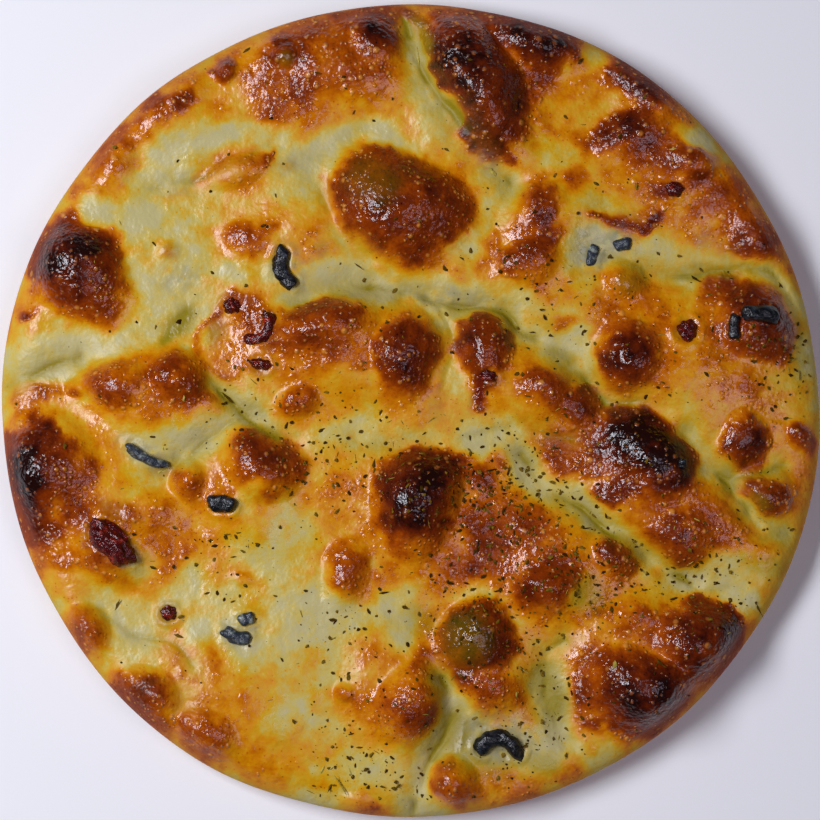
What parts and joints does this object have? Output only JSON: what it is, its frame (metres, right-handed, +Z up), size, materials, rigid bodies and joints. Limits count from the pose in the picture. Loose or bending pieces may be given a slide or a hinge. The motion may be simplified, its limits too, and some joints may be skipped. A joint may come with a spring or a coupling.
{
  "type": "focaccia",
  "caption": "Round flat loaf with a blistered, oiled golden brown crust, herb flakes, and black olive and dried tomato pieces pressed into it.",
  "frame": {"origin": "middle of the flat base, on the surface that the loaf rests on", "axes": "+Z up through the crust; -Y towards the front of the loaf, the edge nearest the viewer in the picture; +X to the viewer's right"},
  "size_m": [0.2706, 0.2694, 0.0305],
  "materials": {
    "crust": "baked crust, pale cream to dark brown, wet with oil",
    "olive": "glossy black olive skin",
    "tomato": "glossy dark red dried tomato"
  },
  "bodies": {
    "root": {"loaf": "crust", "olive_piece_1": "olive", "olive_piece_2": "olive", "olive_piece_3": "olive", "olive_piece_4": "olive", "olive_piece_5": "olive", "olive_piece_6": "olive", "olive_piece_7": "olive", "olive_piece_8": "olive", "olive_piece_9": "olive", "olive_piece_10": "olive", "olive_piece_11": "olive", "tomato_piece_1": "tomato", "tomato_piece_2": "tomato", "tomato_piece_3": "tomato", "tomato_piece_4": "tomato", "tomato_piece_5": "tomato", "tomato_piece_6": "tomato", "tomato_piece_7": "tomato", "tomato_piece_8": "tomato"}
  },
  "joints": []
}
